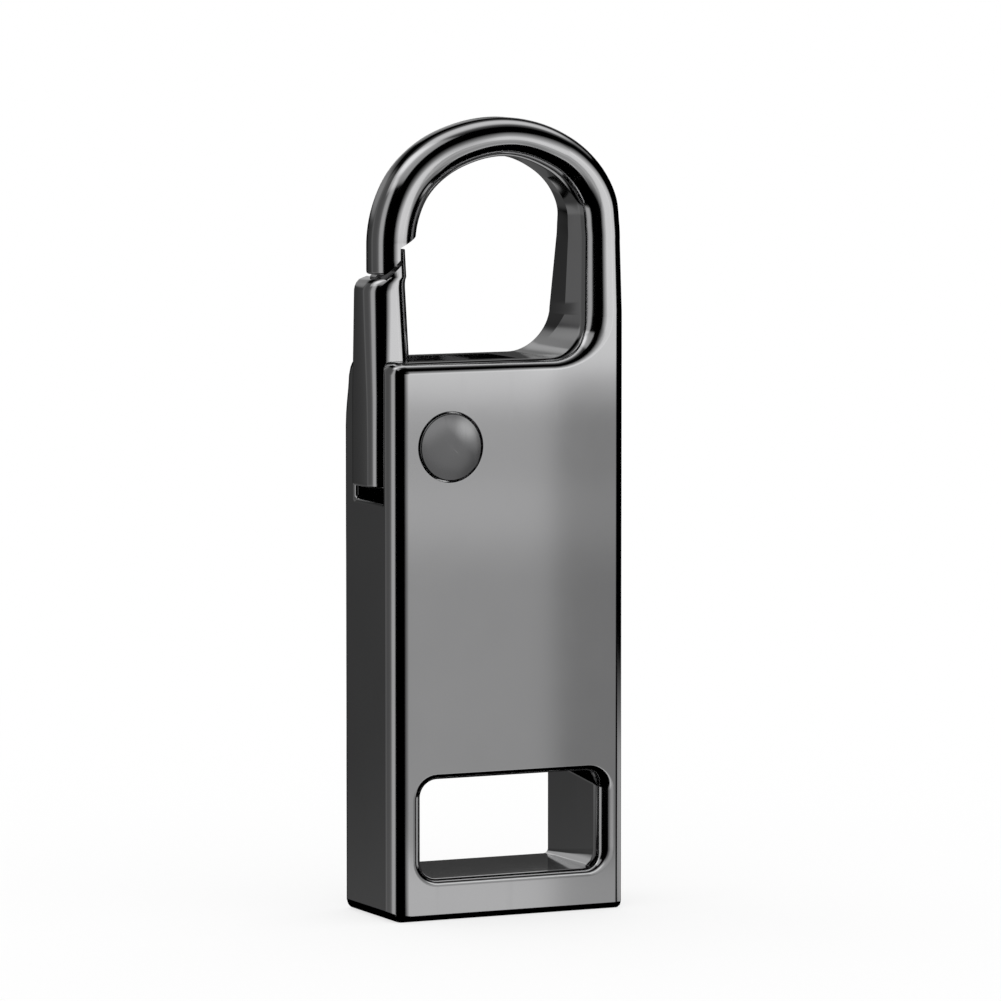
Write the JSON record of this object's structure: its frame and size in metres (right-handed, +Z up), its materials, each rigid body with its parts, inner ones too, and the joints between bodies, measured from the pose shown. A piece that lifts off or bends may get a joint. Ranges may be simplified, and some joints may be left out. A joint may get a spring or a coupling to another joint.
{
  "type": "usb flash drive",
  "caption": "Flash drive in a polished metal key clip: a hook with a sprung gate, a strap window below, and a plug that swings out of the side.",
  "frame": {"origin": "middle of the foot, at the bottom centre of the bounding box", "axes": "+X to the right as seen from the front, +Y to the back, +Z up from the foot to the hook"},
  "size_m": [0.0196, 0.0102, 0.0593],
  "materials": {
    "black_nickel": "polished black nickel plating on a zinc casting",
    "bright_steel": "bright nickel-plated steel",
    "spring_steel": "oiled spring steel",
    "brass": "turned brass",
    "gold_contact": "gold-plated contact",
    "dark_plastic": "moulded black plastic",
    "board_laminate": "green solder mask on laminate",
    "chip_epoxy": "moulded epoxy",
    "ceramic": "fired ceramic"
  },
  "bodies": {
    "body": {"body_casting": "black_nickel", "back_cover": "black_nickel", "gate_rivet": "black_nickel", "rivet_cap": "black_nickel", "cover_screw_1": "bright_steel", "cover_screw_2": "bright_steel", "cover_screw_3": "bright_steel", "cover_screw_4": "bright_steel", "plug_pivot_pin": "bright_steel", "friction_washer": "spring_steel"},
    "gate": {"gate_lever": "black_nickel", "gate_spring": "spring_steel"},
    "plug_arm": {"arm_front_shell": "black_nickel", "arm_rear_shell": "black_nickel", "arm_screw_1": "bright_steel", "arm_screw_2": "bright_steel", "pivot_bushing": "brass", "plug_shell": "bright_steel", "board_carrier": "dark_plastic", "circuit_board": "board_laminate", "plug_contact_1": "gold_contact", "plug_contact_2": "gold_contact", "plug_contact_3": "gold_contact", "plug_contact_4": "gold_contact", "flash_chip": "chip_epoxy", "controller_chip": "chip_epoxy", "clock_crystal": "bright_steel", "capacitor_1": "ceramic", "capacitor_2": "ceramic", "capacitor_3": "ceramic", "resistor_1": "chip_epoxy", "resistor_2": "chip_epoxy", "resistor_3": "chip_epoxy"}
  },
  "joints": [
    {"name": "gate_hinge", "type": "hinge", "parent": "body", "child": "gate", "pos_m": [-0.00458, 0, 0.03505], "axis": [0, 1, 0], "range_deg": [0, 55], "stiffness_Nm_per_rad": 0.008, "springref_deg": -28.65, "deforming": ["gate_spring"]},
    {"name": "plug_hinge", "type": "hinge", "parent": "body", "child": "plug_arm", "pos_m": [0.00365, 0, 0.0315], "axis": [0, -1, 0], "range_deg": [0, 90]}
  ]
}
